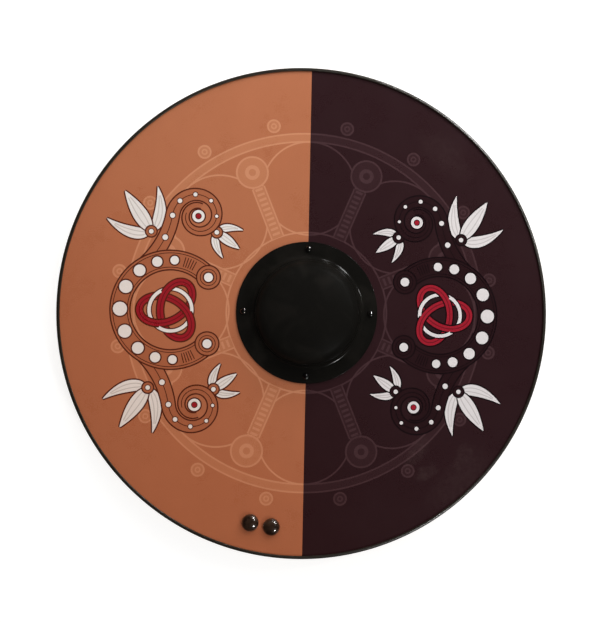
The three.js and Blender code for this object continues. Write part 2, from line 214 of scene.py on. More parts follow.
class Nodes:
    """A material's nodes. Each call adds one and gives what it puts out. Places are in millimetres."""

    def __init__(self, name):
        self.material = bpy.data.materials.new(name)
        self.material.use_nodes = True
        self.tree = self.material.node_tree
        self.shader = self.tree.nodes["Principled BSDF"]
        metres = self.add("ShaderNodeTexCoord").outputs["Object"]
        scaled = self.add("ShaderNodeVectorMath", {0: metres, 3: 1 / MM}, operation="SCALE")
        self.place = scaled.outputs[0]

    def add(self, kind, inputs=None, **settings):
        node = self.tree.nodes.new(kind)
        for name, value in settings.items():
            setattr(node, name, value)
        for key, value in (inputs or {}).items():
            self.join(value, node.inputs[key])
        return node

    def join(self, value, socket):
        if isinstance(value, bpy.types.NodeSocket):
            self.tree.links.new(value, socket)
        else:
            socket.default_value = value

    def math(self, operation, a, b=0.0, c=0.0):
        return self.add("ShaderNodeMath", {0: a, 1: b, 2: c}, operation=operation).outputs[0]

    def axes(self, vector=None):
        return self.add("ShaderNodeSeparateXYZ", {0: vector or self.place}).outputs

    def vector(self, x=0.0, y=0.0, z=0.0):
        return self.add("ShaderNodeCombineXYZ", {0: x, 1: y, 2: z}).outputs[0]

    def wave(self, value, length):
        """A number that runs from 0 to 1 and back as the value grows by this length."""
        sine = self.math("SINE", self.math("MULTIPLY", value, TURN / length))
        return self.math("MULTIPLY_ADD", sine, 0.5, 0.5)

    def distance(self, x, y):
        return self.math("SQRT", self.math("MULTIPLY_ADD", x, x, self.math("MULTIPLY", y, y)))

    def stretched(self, x, y, z):
        """Places scaled along each axis, so that a pattern is longest where its number is least."""
        inputs = {0: self.place, 1: (x, y, z)}
        return self.add("ShaderNodeVectorMath", inputs, operation="MULTIPLY").outputs[0]

    def noise(self, size, detail=3.0, roughness=0.55, distortion=0.0, vector=None):
        """Noise whose blotches are about this many millimetres wide."""
        inputs = {
            "Vector": vector or self.place,
            "Scale": 1 / size,
            "Detail": detail,
            "Roughness": roughness,
            "Distortion": distortion,
        }
        return self.add("ShaderNodeTexNoise", inputs).outputs[0]

    def span(self, value, start, end, low=0.0, high=1.0):
        """The value's way from start to end, as a number from low to high that stays between them."""
        inputs = {0: value, 1: start, 2: end, 3: low, 4: high}
        return self.add("ShaderNodeMapRange", inputs, interpolation_type="SMOOTHSTEP").outputs[0]

    def mix(self, share, a, b, blend="MIX"):
        node = self.add("ShaderNodeMix", data_type="RGBA", blend_type=blend)
        self.join(share, node.inputs[0])
        self.join(a, node.inputs[6])
        self.join(b, node.inputs[7])
        return node.outputs[2]

    def bump(self, height, depth, normal=None):
        """A normal for a surface whose height runs from 0 to 1 over this many millimetres."""
        node = self.add("ShaderNodeBump", {"Height": height, "Distance": depth * MM, "Strength": 1.0})
        if normal is not None:
            self.join(normal, node.inputs["Normal"])
        return node.outputs[0]

    def finish(self, **inputs):
        for name, value in inputs.items():
            self.join(value, self.shader.inputs[name.replace("_", " ")])
        return self.material


def linear(red, green, blue):
    """A colour as the shader wants it, from its 0 to 255 values on a screen."""
    values = [v / 255 for v in (red, green, blue)]
    return [v / 12.92 if v <= 0.04045 else ((v + 0.055) / 1.055) ** 2.4 for v in values] + [1.0]


def print_material():
    """A satin print on a fine canvas skin, whose inks are in the mesh's paint, with painted shade that
    darkens and warms it towards the lower left.
    """
    nodes = Nodes("satin_print")
    paint = nodes.add("ShaderNodeVertexColor", layer_name="paint").outputs[0]
    x, y, _ = nodes.axes()
    warp = nodes.math("SINE", nodes.math("MULTIPLY", x, TURN / WEAVE_PITCH))
    weft = nodes.math("SINE", nodes.math("MULTIPLY", y, TURN / WEAVE_PITCH))
    weave = nodes.math("MULTIPLY_ADD", nodes.math("MULTIPLY", warp, weft), 0.5, 0.5)
    grain = nodes.noise(1.3, detail=2)
    blotches = nodes.noise(45, detail=4)
    streaks = nodes.noise(30, detail=3, vector=nodes.stretched(1.0, 0.12, 1.0))
    tone = nodes.math("MULTIPLY_ADD", grain, 0.16, 0.80)
    tone = nodes.math("MULTIPLY_ADD", weave, 0.06, tone)
    tone = nodes.math("MULTIPLY_ADD", blotches, 0.12, tone)
    tone = nodes.math("MULTIPLY_ADD", streaks, 0.06, tone)
    grey = nodes.add("ShaderNodeCombineColor", {0: tone, 1: tone, 2: tone}).outputs[0]
    colour = nodes.mix(1.0, paint, grey, "MULTIPLY")
    # Painted shade: the colour is made darker and warmer towards the lower left, where less light falls.
    lower_left_shade = nodes.span(nodes.math("ADD", x, y), 60, -340)
    colour = nodes.mix(lower_left_shade, colour, linear(250, 236, 228), "MULTIPLY")
    smudge = None
    ragged_x = nodes.math("MULTIPLY_ADD", nodes.noise(14, detail=4, roughness=0.65), 26.0, x)
    ragged_y = nodes.math("MULTIPLY_ADD", nodes.noise(11, detail=4, roughness=0.65), 26.0, y)
    for across, up, length, width, lean, strength in SMUDGES:
        turned_x = nodes.math("SUBTRACT", ragged_x, across + 13)
        turned_y = nodes.math("SUBTRACT", ragged_y, up + 13)
        cosine, sine = math.cos(math.radians(lean)), math.sin(math.radians(lean))
        along = nodes.math("MULTIPLY_ADD", turned_x, cosine, nodes.math("MULTIPLY", turned_y, sine))
        beside = nodes.math("MULTIPLY_ADD", turned_y, cosine, nodes.math("MULTIPLY", turned_x, -sine))
        along = nodes.math("POWER", nodes.math("DIVIDE", along, length), 2.0)
        beside = nodes.math("POWER", nodes.math("DIVIDE", beside, width), 2.0)
        near = nodes.span(nodes.math("ADD", along, beside), 1.0, 0.0, 0.0, strength)
        smudge = near if smudge is None else nodes.math("MAXIMUM", smudge, near)
    patches = nodes.span(nodes.noise(5, detail=5, roughness=0.7), 0.25, 0.75)
    smudge = nodes.math("MULTIPLY", smudge, patches)
    colour = nodes.mix(smudge, colour, linear(150, 128, 122))
    roughness = nodes.math("MULTIPLY_ADD", blotches, 0.14, 0.19)
    roughness = nodes.math("MULTIPLY_ADD", grain, 0.06, roughness)
    normal = nodes.bump(nodes.math("MULTIPLY_ADD", grain, 0.6, weave), 0.03)
    return nodes.finish(Base_Color=colour, Roughness=roughness, Normal=normal, Specular_IOR_Level=0.2)


def black_paint_material(name, colour, gloss, roughness, dull_from=None, dull_to=None, clear=0.0):
    """Black paint with a faint orange peel and a trace of dust, and a clear coat if wanted. It may be
    duller towards its top, between these two levels in millimetres."""
    nodes = Nodes(name)
    peel = nodes.noise(4.5, detail=2)
    wiping = nodes.noise(38, detail=3, distortion=0.6)
    specks = nodes.span(nodes.noise(0.9, detail=1), 0.72, 0.80)
    film = nodes.span(wiping, 0.45, 0.75, 0.0, 0.02)
    film = nodes.math("MULTIPLY_ADD", specks, 0.03, film)
    base = nodes.mix(film, linear(*colour), linear(120, 110, 100))
    rough = nodes.math("MULTIPLY_ADD", wiping, 0.10, roughness)
    if dull_from is not None:
        _, _, z = nodes.axes()
        rough = nodes.math("ADD", rough, nodes.span(z, dull_from, dull_to, 0.0, 0.26))
        gloss = nodes.span(z, dull_from, dull_to, gloss, 0.15 * gloss)
    normal = nodes.bump(peel, 0.008)
    coat = {"Coat_Weight": clear, "Coat_Roughness": 0.13, "Coat_IOR": 2.3}
    return nodes.finish(Base_Color=base, Roughness=rough, Normal=normal, Specular_IOR_Level=gloss, **coat)


def edging_material():
    """Black rubber, slightly wavy, with a soft sheen, faint lines along it and scuffs on its outside."""
    nodes = Nodes("black_edging")
    x, y, z = nodes.axes()
    radius = nodes.distance(x, y)
    angle = nodes.math("ARCTAN2", y, x)
    unrolled = nodes.vector(nodes.math("MULTIPLY", angle, 12.0), nodes.math("MULTIPLY", radius, 2.2), z)
    lines = nodes.noise(1.0, detail=2, vector=unrolled)
    patches = nodes.noise(24, detail=4)
    scuffs = nodes.span(nodes.noise(3.2, detail=5, roughness=0.7), 0.64, 0.74)
    outer = nodes.span(radius, SHIELD_RADIUS / MM - 2.4, SHIELD_RADIUS / MM - 0.2)
    scuffs = nodes.math("MULTIPLY", scuffs, outer)
    base = nodes.mix(patches, linear(24, 19, 13), linear(38, 32, 23))
    base = nodes.mix(nodes.math("MULTIPLY", scuffs, 0.3), base, linear(92, 88, 80))
    rough = nodes.math("MULTIPLY_ADD", patches, 0.12, 0.34)
    rough = nodes.math("MULTIPLY_ADD", scuffs, 0.2, rough)
    waves = nodes.bump(nodes.noise(15, detail=1), 0.2)
    normal = nodes.bump(lines, 0.02, waves)
    sheen = {"Coat_Weight": 0.5, "Coat_Roughness": 0.2, "Coat_Normal": normal}
    return nodes.finish(Base_Color=base, Roughness=rough, Normal=normal, Specular_IOR_Level=0.7, **sheen)


def stud_material():
    """Dark bronze plating over a cast dome, finely pitted, under a clear gloss."""
    nodes = Nodes("dark_bronze")
    pits = nodes.noise(1.1, detail=3, roughness=0.6)
    cloud = nodes.noise(6, detail=3)
    base = nodes.mix(nodes.span(cloud, 0.35, 0.65), linear(60, 42, 30), linear(34, 22, 15))
    base = nodes.mix(nodes.span(pits, 0.56, 0.72, 0.0, 0.7), base, linear(16, 10, 7))
    rough = nodes.math("MULTIPLY_ADD", pits, 0.2, 0.2)
    normal = nodes.bump(pits, 0.05)
    gloss = {"Coat_Weight": 1.0, "Coat_Roughness": 0.04, "Coat_IOR": 1.75}
    return nodes.finish(Base_Color=base, Roughness=rough, Normal=normal, Metallic=0.25, **gloss)


def steel_material():
    """Zinc-plated steel with turning marks and a dull bloom."""
    nodes = Nodes("zinc_steel")
    bloom = nodes.noise(3.5, detail=4)
    marks = nodes.noise(0.5, detail=2, vector=nodes.stretched(1.0, 1.0, 6.0))
    base = nodes.mix(nodes.span(bloom, 0.35, 0.7), linear(176, 177, 178), linear(136, 138, 142))
    rough = nodes.math("MULTIPLY_ADD", bloom, 0.3, 0.22)
    normal = nodes.bump(marks, 0.01)
    return nodes.finish(Base_Color=base, Roughness=rough, Normal=normal, Metallic=0.3)


def wood_material(name, pale, dark, pore, ring_width, gloss):
    """Sealed wood with its grain along Y: growth rings drawn out into long arches, and fine pores."""
    nodes = Nodes(name)
    wander = nodes.noise(90, detail=3, vector=nodes.stretched(1.0, 0.10, 1.0))
    x, _, z = nodes.axes()
    across = nodes.math("MULTIPLY_ADD", wander, 5.5 * ring_width, x)
    across = nodes.math("MULTIPLY_ADD", z, 0.5, across)
    rings = nodes.wave(across, ring_width)
    fibres = nodes.noise(2.4, detail=4, vector=nodes.stretched(1.0, 0.03, 1.0))
    pores = nodes.span(nodes.noise(0.9, detail=2, vector=nodes.stretched(1.0, 0.06, 1.0)), 0.60, 0.74)
    clouds = nodes.noise(70, detail=2)
    share = nodes.math("MULTIPLY_ADD", rings, 0.34, nodes.math("MULTIPLY", fibres, 0.5))
    share = nodes.math("MULTIPLY_ADD", clouds, 0.24, share)
    base = nodes.mix(nodes.span(share, 0.2, 0.85), linear(*pale), linear(*dark))
    base = nodes.mix(nodes.math("MULTIPLY", pores, 0.55), base, linear(*pore))
    rough = nodes.math("MULTIPLY_ADD", fibres, 0.2, gloss)
    relief = nodes.math("MULTIPLY_ADD", fibres, 0.6, nodes.math("MULTIPLY", pores, -0.5))
    return nodes.finish(Base_Color=base, Roughness=rough, Normal=nodes.bump(relief, 0.06))


def plies_material():
    """The cut edge of plywood: thin layers, pale along the grain and dark across it, with dark glue."""
    nodes = Nodes("plywood_edge")
    x, y, z = nodes.axes()
    level = nodes.math("DIVIDE", nodes.math("SUBTRACT", z, BOARD_BACK / MM), PLY_THICKNESS)
    level = nodes.math("MULTIPLY_ADD", nodes.noise(20, detail=2), 0.12, level)
    across = nodes.math("PINGPONG", level, 1.0)
    from_middle = nodes.math("ABSOLUTE", nodes.math("SUBTRACT", nodes.math("FRACT", level), 0.5))
    glue = nodes.span(from_middle, 0.42, 0.49)
    fibres = nodes.noise(0.8, detail=3)
    base = nodes.mix(nodes.span(across, 0.4, 0.6), linear(206, 168, 118), linear(158, 116, 74))
    base = nodes.mix(nodes.math("MULTIPLY", fibres, 0.5), base, linear(128, 90, 56))
    base = nodes.mix(glue, base, linear(82, 54, 34))
    relief = nodes.math("SUBTRACT", fibres, glue)
    return nodes.finish(Base_Color=base, Roughness=0.75, Normal=nodes.bump(relief, 0.08))


def floor_material():
    """A pale matt studio floor with a faint unevenness."""
    nodes = Nodes("pale_floor")
    cloud = nodes.noise(260, detail=2)
    base = nodes.mix(cloud, linear(176, 175, 173), linear(172, 171, 169))
    lift = {"Emission_Color": (1, 1, 1, 1), "Emission_Strength": 0.74}
    return nodes.finish(Base_Color=base, Roughness=0.9, Specular_IOR_Level=0.1, **lift)


# The print: its weave, its inks, and where it was handled

WEAVE_PITCH = 1.9  # millimetres over which the weave repeats
PLY_THICKNESS = 1.8  # millimetres

# Pale smudges on the dark half: across, up, length, width, lean in degrees, strength
SMUDGES = (
    (139, -170, 26, 13, 52, 0.045),
    (152, -194, 18, 10, 40, 0.045),
    (196, -176, 24, 14, 60, 0.045),
    (192, -204, 62, 26, 44, 0.03),
    (168, 198, 50, 24, -38, 0.03),
)

# What each ink looks like on the light half and on the dark half
INKS = {
    "field": ((164, 99, 67), (41, 21, 24)),
    "band": ((156, 91, 60), (36, 17, 20)),
    "haze": ((172, 109, 76), (49, 28, 31)),
    "tracery": ((185, 125, 92), (63, 41, 44)),
    "line": ((76, 28, 14), (19, 8, 11)),
    "white": ((214, 209, 205), (206, 200, 199)),
    "shade": ((186, 178, 172), (180, 173, 172)),
    "red": ((142, 22, 32), (146, 22, 38)),
    "red_shade": ((104, 12, 22), (104, 12, 26)),
    "back": ((150, 140, 126), (150, 140, 126)),
}
HOLE = "hole"
LINE_WIDTH = 1.7  # millimetres, of the outlines round the motifs


class Print:
    """Flat shapes in millimetres, each painted over those before it."""

    def __init__(self):
        self.points = []
        self.faces = []
        self.inks = []
        self.mirrored = False

    def paint(self, ink, places, faces):
        """Paints simple outlines, given by which of these places each goes round."""
        start = len(self.points)
        flip = -1 if self.mirrored else 1
        places = [Vector((flip * p[0], p[1])) for p in places]
        self.points += places
        for face in faces:
            corners = [places[i] for i in face]
            following = corners[1:] + corners[:1]
            area = sum(a.x * b.y - a.y * b.x for a, b in zip(corners, following))
            if abs(area) < 1e-6:
                continue
            self.faces.append([start + i for i in (face if area > 0 else face[::-1])])
            self.inks.append(ink)

    def shape(self, ink, outline):
        self.paint(ink, outline, [list(range(len(outline)))])

    def disc(self, ink, centre, radius):
        self.shape(ink, circle(centre, radius))

    def stroke(self, ink, line, half_widths):
        """Paints a band along a line of places, which is closed if it ends where it starts."""
        closed = (line[0] - line[-1]).length < 1e-6
        line = line[:-1] if closed else line
        count = len(line)
        if not hasattr(half_widths, "__len__"):
            half_widths = [half_widths] * count
        places = []
        for i, place in enumerate(line):
            before = line[i - 1] if i or closed else line[i]
            after = line[(i + 1) % count] if i + 1 < count or closed else line[i]
            ahead = (after - before).normalized()
            aside = Vector((-ahead.y, ahead.x)) * half_widths[i]
            places += [place + aside, place - aside]
        spans = count if closed else count - 1
        ends = [(2 * i, 2 * ((i + 1) % count)) for i in range(spans)]
        self.paint(ink, places, [[a + 1, b + 1, b, a] for a, b in ends])

    def ribbon(self, fill, line, half_widths, edge="line", edge_width=LINE_WIDTH):
        """A band with a thin line along both its sides."""
        if not hasattr(half_widths, "__len__"):
            half_widths = [half_widths] * len(line)
        self.stroke(edge, line, [w + edge_width for w in half_widths])
        self.stroke(fill, line, half_widths)

    def ringed_disc(self, fill, centre, radius, edge="line", edge_width=LINE_WIDTH):
        self.disc(edge, centre, radius + edge_width)
        self.disc(fill, centre, radius)


def polar(angle, radius, centre=(0, 0)):
    return Vector((centre[0] + radius * math.cos(angle), centre[1] + radius * math.sin(angle)))


def circle(centre, radius):
    count = max(12, round(radius * 3.2))
    return [polar(TURN * i / count, radius, centre) for i in range(count)]


def arc_line(centre, radius, start, end):
    """Places along an arc, close enough together to look round."""
    count = max(6, round(abs(end - start) * (radius + 8) / 2.6))
    return [polar(start + (end - start) * i / count, radius, centre) for i in range(count + 1)]


def bent_line(start, bend, end, count=24):
    """Places along a curve that leaves start towards bend and comes to end from it."""
    start, bend, end = Vector(start), Vector(bend), Vector(end)
    shares = [i / count for i in range(count + 1)]
    return [start * (1 - t) ** 2 + bend * (2 * t * (1 - t)) + end * t**2 for t in shares]


def spiral_line(centre, radius, eye, start, turns, count=110):
    """Places along a spiral that winds in from this radius to its eye."""
    shares = [i / count for i in range(count + 1)]
    return [
        polar(start + TURN * turns * t, radius * (eye / radius) ** t, centre) for t in shares
    ]


def tapered(line, start, end, power=1.0):
    """Half widths that run from start to end along a line."""
    last = len(line) - 1
    return [start + (end - start) * (i / last) ** power for i in range(len(line))]


def leaf_swell(count):
    """How wide a leaf is along its length, from 0 at its ends to 1."""
    shares = [i / (count - 1) for i in range(count)]
    return [math.sin(math.pi * t**0.72) ** 0.85 if 0 < t < 1 else 0.0 for t in shares]


def add_leaf(art, base, bend, tip, half_width):
    """A white leaf with a pointed tip, a shaded middle and a vein."""
    line = bent_line(base, bend, tip, 30)
    swell = leaf_swell(len(line))
    art.stroke("line", line, [half_width * s + LINE_WIDTH for s in swell])
    art.stroke("white", line, [half_width * s for s in swell])
    inner = slice(4, -5)
    art.stroke("shade", line[inner], [0.45 * half_width * s for s in swell[inner]])
    art.stroke("white", line[inner], [max(0.05, 0.45 * half_width * s - 1.2) for s in swell[inner]])


def add_palmette(art, base, direction, length, half_width):
    """Three leaves that spread from one place, the middle one longest, with a disc where they meet."""
    base = Vector(base)
    ahead = polar(math.radians(direction), 1)
    aside = polar(math.radians(direction + 90), 1)
    for side in (-1, 1):
        bend = base + ahead * (0.12 * length) + aside * (side * 0.42 * length)
        tip = base + ahead * (0.72 * length) + aside * (side * 0.62 * length)
        add_leaf(art, base + aside * side * 2, bend, tip, 0.8 * half_width)
    add_leaf(art, base, base + ahead * (0.5 * length), base + ahead * length, half_width)
    art.ringed_disc("band", base, 6.2)
    art.ringed_disc("white", base, 2.8, edge_width=1.0)


def add_comb(art, centre, radius, start, end, count, length):
    """Short strokes across an arc."""
    for i in range(count):
        angle = start + (end - start) * i / (count - 1)
        ends = [polar(angle, radius - length / 2, centre), polar(angle, radius + length / 2, centre)]
        art.stroke("line", ends, 0.6)


def add_ladder(art, angle, start, end):
    """A faint spoke with a row of teeth between its sides."""
    along, aside = polar(angle, 1), polar(angle + TURN / 4, 1)
    art.stroke("haze", [along * start, along * end], 7.5)
    for side in (-7.5, 7.5):
        art.stroke("tracery", [along * start + aside * side, along * end + aside * side], 0.9)
    teeth = int((end - start) / 6.4)
    for i in range(teeth):
        foot = along * (start + 5 + 6.4 * i)
        art.stroke("tracery", [foot - aside * 4.6, foot + aside * 4.6], 1.5)


def add_faint_eye(art, centre, radius):
    """A faint disc in a ring, with a bright heart."""
    art.disc("tracery", centre, radius)
    art.disc("haze", centre, radius - 2.2)
    art.disc("tracery", centre, 0.45 * radius)
    art.disc("haze", centre, 0.22 * radius)


def add_tracery(art):
    """A faint rosette behind everything: rings, interlaced circles, spokes with teeth, and eyes."""
    art.stroke("haze", arc_line((0, 0), 214, 0, TURN), 4.2)
    for radius in (98, 209, 219):
        art.stroke("tracery", arc_line((0, 0), radius, 0, TURN), 1.0)
    for i in range(8):
        art.stroke("tracery", arc_line(polar(TURN * i / 8, 152), 57, 0, TURN), 1.0)
    for i in range(8):
        angle = TURN * (i + 0.5) / 8
        add_ladder(art, angle, 98, 163)
        add_faint_eye(art, polar(angle, 183), 20)
    for i in range(16):
        add_faint_eye(art, polar(TURN * (i + 0.5) / 16, 231), 8.5)


KNOT_PLACE = Vector((165, 0))
KNOT_SCALE = 12.4
KNOT_RING_RADIUS = 25.5
RIBBON_HALF_WIDTH = 3.6
RING_HALF_WIDTH = 2.0


def knot_place(t):
    """A place on the three-lobed knot, one lobe away from the boss."""
    x, y = math.sin(t) + 2 * math.sin(2 * t), math.cos(t) - 2 * math.cos(2 * t)
    return KNOT_PLACE - Vector((y, x)) * KNOT_SCALE


def add_knot_ribbon(art, line):
    art.ribbon("red", line, RIBBON_HALF_WIDTH)
    art.stroke("red_shade", line, 0.6)


def add_knot(art):
    """A red ribbon in three lobes that passes over and under itself, woven through a white ring."""
    steps = 180
    whole = [knot_place(TURN * i / steps) for i in range(steps + 1)]
    ring = arc_line(KNOT_PLACE, KNOT_RING_RADIUS, 0, TURN)
    art.ribbon("white", ring, RING_HALF_WIDTH, edge_width=1.4)
    add_knot_ribbon(art, whole)
    for lobe in range(3):
        over = math.acos(-0.25) + TURN * lobe / 3
        passing = [knot_place(over + 0.15 * (i / 8 - 1)) for i in range(17)]
        add_knot_ribbon(art, passing)
    outside = [(place - KNOT_PLACE).length > KNOT_RING_RADIUS for place in whole]
    leaving = [i for i in range(steps) if outside[i + 1] and not outside[i]]
    for i in leaving:
        reach = whole[i] - KNOT_PLACE
        angle = math.atan2(reach.y, reach.x)
        bridge = arc_line(KNOT_PLACE, KNOT_RING_RADIUS, angle - 0.40, angle + 0.40)
        art.stroke("line", bridge[1:-1], RING_HALF_WIDTH + 1.4)
        art.stroke("white", bridge, RING_HALF_WIDTH)


TORC_PLACE = Vector((165, 0))
TORC_RADIUS = 60
TORC_HALF_WIDTH = 11
TORC_HALF_SWEEP = math.radians(138)
SCROLL_PLACE = Vector((134, 114))
SCROLL_RADIUS = 31


def add_torc(art):
    """A broad open ring with round ends, set with white discs that get smaller towards its ends."""
    sweep = (-TORC_HALF_SWEEP, TORC_HALF_SWEEP)
    art.ribbon("band", arc_line(TORC_PLACE, TORC_RADIUS, *sweep), TORC_HALF_WIDTH)
    for side in (-1, 1):
        inset = TORC_RADIUS + side * (TORC_HALF_WIDTH - 2.4)
        art.stroke("line", arc_line(TORC_PLACE, inset, *sweep), 0.5)
    for degrees, radius in ((0, 8.4), (26.5, 7.8), (51, 7.0), (73.5, 6.1), (93.5, 5.2)):
        for side in ((1,) if degrees == 0 else (-1, 1)):
            place = polar(side * math.radians(degrees), TORC_RADIUS, TORC_PLACE)
            art.ringed_disc("white", place, radius)
    for side in (-1, 1):
        start, end = side * math.radians(105), side * math.radians(117)
        add_comb(art, TORC_PLACE, TORC_RADIUS, start, end, 5, 12)
        tip = polar(side * TORC_HALF_SWEEP, TORC_RADIUS, TORC_PLACE)
        art.ringed_disc("band", tip, 13.5)
        art.ringed_disc("band", tip, 9.4, edge_width=1.0)
        art.ringed_disc("white", tip, 5.4)


def add_scroll(art):
    """A stem that leaves the open ring, winds into a spiral round a white disc, and bears leaves."""
    start = (SCROLL_PLACE.x + SCROLL_RADIUS, SCROLL_PLACE.y)
    stem = bent_line((206, 45), (172, 74), start, 20)
    spiral = spiral_line(SCROLL_PLACE, SCROLL_RADIUS, 12.5, 0, 1.3)
    line = stem[:-1] + spiral
    add_palmette(art, (190, 94), 56, 58, 8.6)
    add_palmette(art, (111.5, 95), 215, 34, 5.6)
    art.ribbon("band", line, tapered(line, 9.0, 2.4, 0.8))
    art.stroke("line", line[8:-22], 0.5)
    for i, radius in ((13, 3.4), (20, 3.1), (29, 2.8), (39, 2.5), (50, 2.2), (62, 1.9)):
        art.ringed_disc("white", line[i], radius, edge_width=1.1)
    art.ringed_disc("white", SCROLL_PLACE, 7.4)
    art.ringed_disc("red", SCROLL_PLACE, 3.0, edge_width=1.0)


def add_motif(art):
    for upside_down in (False, True):
        half = Print()
        half.mirrored = art.mirrored
        add_scroll(half)
        flip = -1 if upside_down else 1
        start = len(art.points)
        art.points += [Vector((p.x, flip * p.y)) for p in half.points]
        art.faces += [[start + i for i in face[::flip]] for face in half.faces]
        art.inks += half.inks
    add_torc(art)
    add_knot(art)


def face_art():
    """The whole print, and the holes through it."""
    art = Print()
    rim = [polar(TURN * i / 288, BOARD_RADIUS / MM) for i in range(288)]
    right = [p for p in rim if p.x > -1e-6]
    right.sort(key=lambda p: math.atan2(p.y, p.x))
    art.shape("field", right)
    art.mirrored = True
    art.shape("field", right)
    art.mirrored = False
    add_tracery(art)
    for mirrored in (False, True):
        art.mirrored = mirrored
        add_motif(art)
    art.mirrored = False
    art.shape(HOLE, [polar(TURN * i / 160, HAND_HOLE_RADIUS / MM) for i in range(160)])
    for place in RIVET_PLACES.values():
        art.disc(HOLE, place / MM, (RIVET_SHANK_RADIUS + SHANK_CLEARANCE) / MM)
    for place in STUD_PLACES.values():
        art.disc(HOLE, place / MM, (STUD_SHANK_RADIUS + SHANK_CLEARANCE) / MM)
    return art


def skin_mesh():
    """The printed skin, whose face is cut up along every edge of the print, so each bit has one ink."""
    art = face_art()
    places, _, faces, _, _, sources = delaunay_2d_cdt(art.points, [], art.faces, 1, 1e-4)
    bm = bmesh.new()
    paint = bm.loops.layers.float_color.new("paint")
    verts = [bm.verts.new((p.x * MM, p.y * MM, SKIN_FRONT)) for p in places]
    for face, source in zip(faces, sources):
        ink = art.inks[max(source)] if source else HOLE
        if ink == HOLE:
            continue
        half = 0 if sum(places[i].x for i in face) < 0 else 1
        made = bm.faces.new([verts[i] for i in face])
        for loop in made.loops:
            loop[paint] = linear(*INKS[ink][half])
    bmesh.ops.delete(bm, geom=[v for v in bm.verts if not v.link_faces], context="VERTS")
    add_skin_back(bm, paint)
    mesh = bpy.data.meshes.new("printed_skin")
    bm.to_mesh(mesh)
    bm.free()
    return mesh


def add_skin_back(bm, paint):
    """Closes the skin with its edges and its plain back."""
    back_of = {}
    rims = [e for e in bm.edges if len(e.link_faces) == 1]
    for edge in rims:
        for vert in edge.verts:
            if vert not in back_of:
                back_of[vert] = bm.verts.new((vert.co.x, vert.co.y, SKIN_BACK))
    made = []
    for edge in rims:
        loop = edge.link_loops[0]
        start, end = loop.vert, loop.link_loop_next.vert
        made.append(bm.faces.new([end, start, back_of[start], back_of[end]]))
    backs = list(back_of.values())
    index = {vert: i for i, vert in enumerate(backs)}
    sides = [[index[back_of[v]] for v in edge.verts] for edge in rims]
    flat, _, faces, origins, _, _ = delaunay_2d_cdt([v.co.xy / MM for v in backs], sides, [], 1, 1e-6)
    holes = [(Vector((0, 0)), HAND_HOLE_RADIUS)]
    holes += [(p, RIVET_SHANK_RADIUS + SHANK_CLEARANCE) for p in RIVET_PLACES.values()]
    holes += [(p, STUD_SHANK_RADIUS + SHANK_CLEARANCE) for p in STUD_PLACES.values()]
    for face in faces:
        centre = sum((flat[i] for i in face), Vector((0, 0))) / len(face) * MM
        if all((centre - place).length > radius for place, radius in holes):
            made.append(bm.faces.new([backs[origins[i][0]] for i in reversed(face)]))
    for face in made:
        for loop in face.loops:
            loop[paint] = linear(*INKS["back"][0])


# Pieces


def add_skin():
    new_piece("printed_face", skin_mesh(), [print_material()], ["printed_skin"])


def add_board():
    """The plywood board: its two faces veneer, its cut edges plies."""
    edge = 0.5 * MM
    inner, outer = HAND_HOLE_RADIUS, BOARD_RADIUS
    profile = [
        (inner, BOARD_BACK + edge),
        (inner + edge, BOARD_BACK),
        (outer - edge, BOARD_BACK),
        (outer, BOARD_BACK + edge),
        (outer, BOARD_FRONT),
        (inner, BOARD_FRONT),
        (inner, BOARD_BACK + edge),
    ]
    veneer = wood_material("birch_veneer", (214, 178, 130), (176, 132, 86), (120, 82, 50), 17, 0.42)
    mesh = turned("board", profile, 256)
    piece = new_piece("plywood_board", mesh, [veneer, plies_material()], ["board"])
    reach = (BOARD_BACK - MM, BOARD_FRONT + MM)
    holes = [(*p, RIVET_SHANK_RADIUS + SHANK_CLEARANCE, *reach) for p in RIVET_PLACES.values()]
    holes += [(*p, STUD_SHANK_RADIUS + SHANK_CLEARANCE, *reach) for p in STUD_PLACES.values()]
    drilled(piece, holes)
    for face in piece.data.polygons:
        face.material_index = 0 if abs(face.normal.z) > 0.9 else 1


def edging_profile():
    mouth_low, mouth_high = BOARD_BACK - SEAT_GAP, SKIN_FRONT + SEAT_GAP
    tip, channel = SHIELD_RADIUS - EDGING_LIP_REACH, SHIELD_RADIUS - EDGING_WALL
    small, large = EDGING_TIP_ROUND, EDGING_CORNER_RADIUS
    corner = SHIELD_RADIUS - large
    quarter = TURN / 4
    return [
        (channel, mouth_low),
        (tip, mouth_low),
        *arc(tip + small, EDGING_LOW + small, small, 2 * quarter, 3 * quarter, 4),
        *arc(corner, EDGING_LOW + large, large, -quarter, 0, 10),
        *arc(corner, EDGING_HIGH - large, large, 0, quarter, 10),
        *arc(tip + small, EDGING_HIGH - small, small, quarter, 2 * quarter, 4),
        (tip, mouth_high),
        (channel, mouth_high),
        (channel, mouth_low),
    ]


def add_edging():
    """The U-section edging, open at its seam."""
    half_gap = EDGING_SEAM_GAP / 2 / SHIELD_RADIUS
    part = {"start": EDGING_SEAM_ANGLE + half_gap, "sweep": TURN - 2 * half_gap}
    mesh = turned("edging", edging_profile(), 288, **part)
    new_piece("rim_edging", mesh, [edging_material()], ["edging"])


